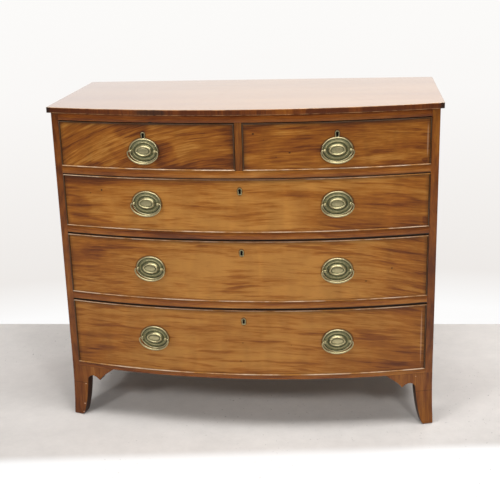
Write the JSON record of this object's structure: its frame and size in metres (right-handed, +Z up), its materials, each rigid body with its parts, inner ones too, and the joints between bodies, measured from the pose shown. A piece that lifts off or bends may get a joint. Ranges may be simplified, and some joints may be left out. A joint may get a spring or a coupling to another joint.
{
  "type": "bow front chest of drawers",
  "caption": "Bow front chest of drawers in mahogany: short drawers over long ones, oval brass plates with hanging bails, and splayed bracket feet.",
  "frame": {"origin": "on the floor, under the middle of the object's box", "axes": "+X to the right seen from the front, +Y to the back, +Z up"},
  "size_m": [1.06, 0.561, 0.919],
  "materials": {
    "top_mahogany": "polished",
    "case_mahogany": "polished",
    "rail_mahogany": "polished",
    "drawer_front_mahogany": "polished",
    "foot_mahogany": "polished",
    "oak": "bare, aged",
    "pine": "bare, aged",
    "brass": "aged, dull"
  },
  "bodies": {
    "case": {"top_board": "top_mahogany", "right_side": "case_mahogany", "left_side": "case_mahogany", "back_boards": "pine", "base_board": "case_mahogany", "top_rail": "rail_mahogany", "upper_rail_and_dustboard": "rail_mahogany", "middle_rail_and_dustboard": "rail_mahogany", "lower_rail_and_dustboard": "rail_mahogany", "short_drawer_divider": "rail_mahogany", "front_right_foot": "foot_mahogany", "front_left_foot": "foot_mahogany", "back_right_foot": "foot_mahogany", "back_left_foot": "foot_mahogany"},
    "short_left_drawer": {"short_left_drawer_front": "drawer_front_mahogany", "short_left_drawer_left_side": "oak", "short_left_drawer_right_side": "oak", "short_left_drawer_back": "oak", "short_left_drawer_bottom": "oak", "short_left_drawer_lock": "brass", "short_left_drawer_handle_plate": "brass"},
    "short_right_drawer": {"short_right_drawer_front": "drawer_front_mahogany", "short_right_drawer_left_side": "oak", "short_right_drawer_right_side": "oak", "short_right_drawer_back": "oak", "short_right_drawer_bottom": "oak", "short_right_drawer_lock": "brass", "short_right_drawer_handle_plate": "brass"},
    "upper_long_drawer": {"upper_long_drawer_front": "drawer_front_mahogany", "upper_long_drawer_left_side": "oak", "upper_long_drawer_right_side": "oak", "upper_long_drawer_back": "oak", "upper_long_drawer_bottom": "oak", "upper_long_drawer_lock": "brass", "upper_long_drawer_left_handle_plate": "brass", "upper_long_drawer_right_handle_plate": "brass"},
    "middle_long_drawer": {"middle_long_drawer_front": "drawer_front_mahogany", "middle_long_drawer_left_side": "oak", "middle_long_drawer_right_side": "oak", "middle_long_drawer_back": "oak", "middle_long_drawer_bottom": "oak", "middle_long_drawer_lock": "brass", "middle_long_drawer_left_handle_plate": "brass", "middle_long_drawer_right_handle_plate": "brass"},
    "lower_long_drawer": {"lower_long_drawer_front": "drawer_front_mahogany", "lower_long_drawer_left_side": "oak", "lower_long_drawer_right_side": "oak", "lower_long_drawer_back": "oak", "lower_long_drawer_bottom": "oak", "lower_long_drawer_lock": "brass", "lower_long_drawer_left_handle_plate": "brass", "lower_long_drawer_right_handle_plate": "brass"},
    "short_left_drawer_bail": {"short_left_drawer_handle_bail": "brass"},
    "short_right_drawer_bail": {"short_right_drawer_handle_bail": "brass"},
    "upper_long_drawer_left_bail": {"upper_long_drawer_left_handle_bail": "brass"},
    "upper_long_drawer_right_bail": {"upper_long_drawer_right_handle_bail": "brass"},
    "middle_long_drawer_left_bail": {"middle_long_drawer_left_handle_bail": "brass"},
    "middle_long_drawer_right_bail": {"middle_long_drawer_right_handle_bail": "brass"},
    "lower_long_drawer_left_bail": {"lower_long_drawer_left_handle_bail": "brass"},
    "lower_long_drawer_right_bail": {"lower_long_drawer_right_handle_bail": "brass"}
  },
  "joints": [
    {"name": "short_left_drawer_slide", "type": "slide", "parent": "case", "child": "short_left_drawer", "axis": [0, -1, 0], "range_m": [0, 0.38]},
    {"name": "short_right_drawer_slide", "type": "slide", "parent": "case", "child": "short_right_drawer", "axis": [0, -1, 0], "range_m": [0, 0.38]},
    {"name": "upper_long_drawer_slide", "type": "slide", "parent": "case", "child": "upper_long_drawer", "axis": [0, -1, 0], "range_m": [0, 0.38]},
    {"name": "middle_long_drawer_slide", "type": "slide", "parent": "case", "child": "middle_long_drawer", "axis": [0, -1, 0], "range_m": [0, 0.38]},
    {"name": "lower_long_drawer_slide", "type": "slide", "parent": "case", "child": "lower_long_drawer", "axis": [0, -1, 0], "range_m": [0, 0.38]},
    {"name": "short_left_drawer_bail_hinge", "type": "hinge", "parent": "short_left_drawer", "child": "short_left_drawer_bail", "pos_m": [-0.2574, -0.26291, 0.80805], "axis": [-0.9902, 0.1399, 0], "range_deg": [-5, 180]},
    {"name": "short_right_drawer_bail_hinge", "type": "hinge", "parent": "short_right_drawer", "child": "short_right_drawer_bail", "pos_m": [0.2574, -0.26291, 0.80805], "axis": [-0.9902, -0.1399, 0], "range_deg": [-5, 180]},
    {"name": "upper_long_drawer_left_bail_hinge", "type": "hinge", "parent": "upper_long_drawer", "child": "upper_long_drawer_left_bail", "pos_m": [-0.2574, -0.26291, 0.664], "axis": [-0.9902, 0.1399, 0], "range_deg": [-5, 180]},
    {"name": "upper_long_drawer_right_bail_hinge", "type": "hinge", "parent": "upper_long_drawer", "child": "upper_long_drawer_right_bail", "pos_m": [0.2574, -0.26291, 0.664], "axis": [-0.9902, -0.1399, 0], "range_deg": [-5, 180]},
    {"name": "middle_long_drawer_left_bail_hinge", "type": "hinge", "parent": "middle_long_drawer", "child": "middle_long_drawer_left_bail", "pos_m": [-0.2574, -0.26291, 0.4793], "axis": [-0.9902, 0.1399, 0], "range_deg": [-5, 180]},
    {"name": "middle_long_drawer_right_bail_hinge", "type": "hinge", "parent": "middle_long_drawer", "child": "middle_long_drawer_right_bail", "pos_m": [0.2574, -0.26291, 0.4793], "axis": [-0.9902, -0.1399, 0], "range_deg": [-5, 180]},
    {"name": "lower_long_drawer_left_bail_hinge", "type": "hinge", "parent": "lower_long_drawer", "child": "lower_long_drawer_left_bail", "pos_m": [-0.2574, -0.26291, 0.273], "axis": [-0.9902, 0.1399, 0], "range_deg": [-5, 180]},
    {"name": "lower_long_drawer_right_bail_hinge", "type": "hinge", "parent": "lower_long_drawer", "child": "lower_long_drawer_right_bail", "pos_m": [0.2574, -0.26291, 0.273], "axis": [-0.9902, -0.1399, 0], "range_deg": [-5, 180]}
  ]
}
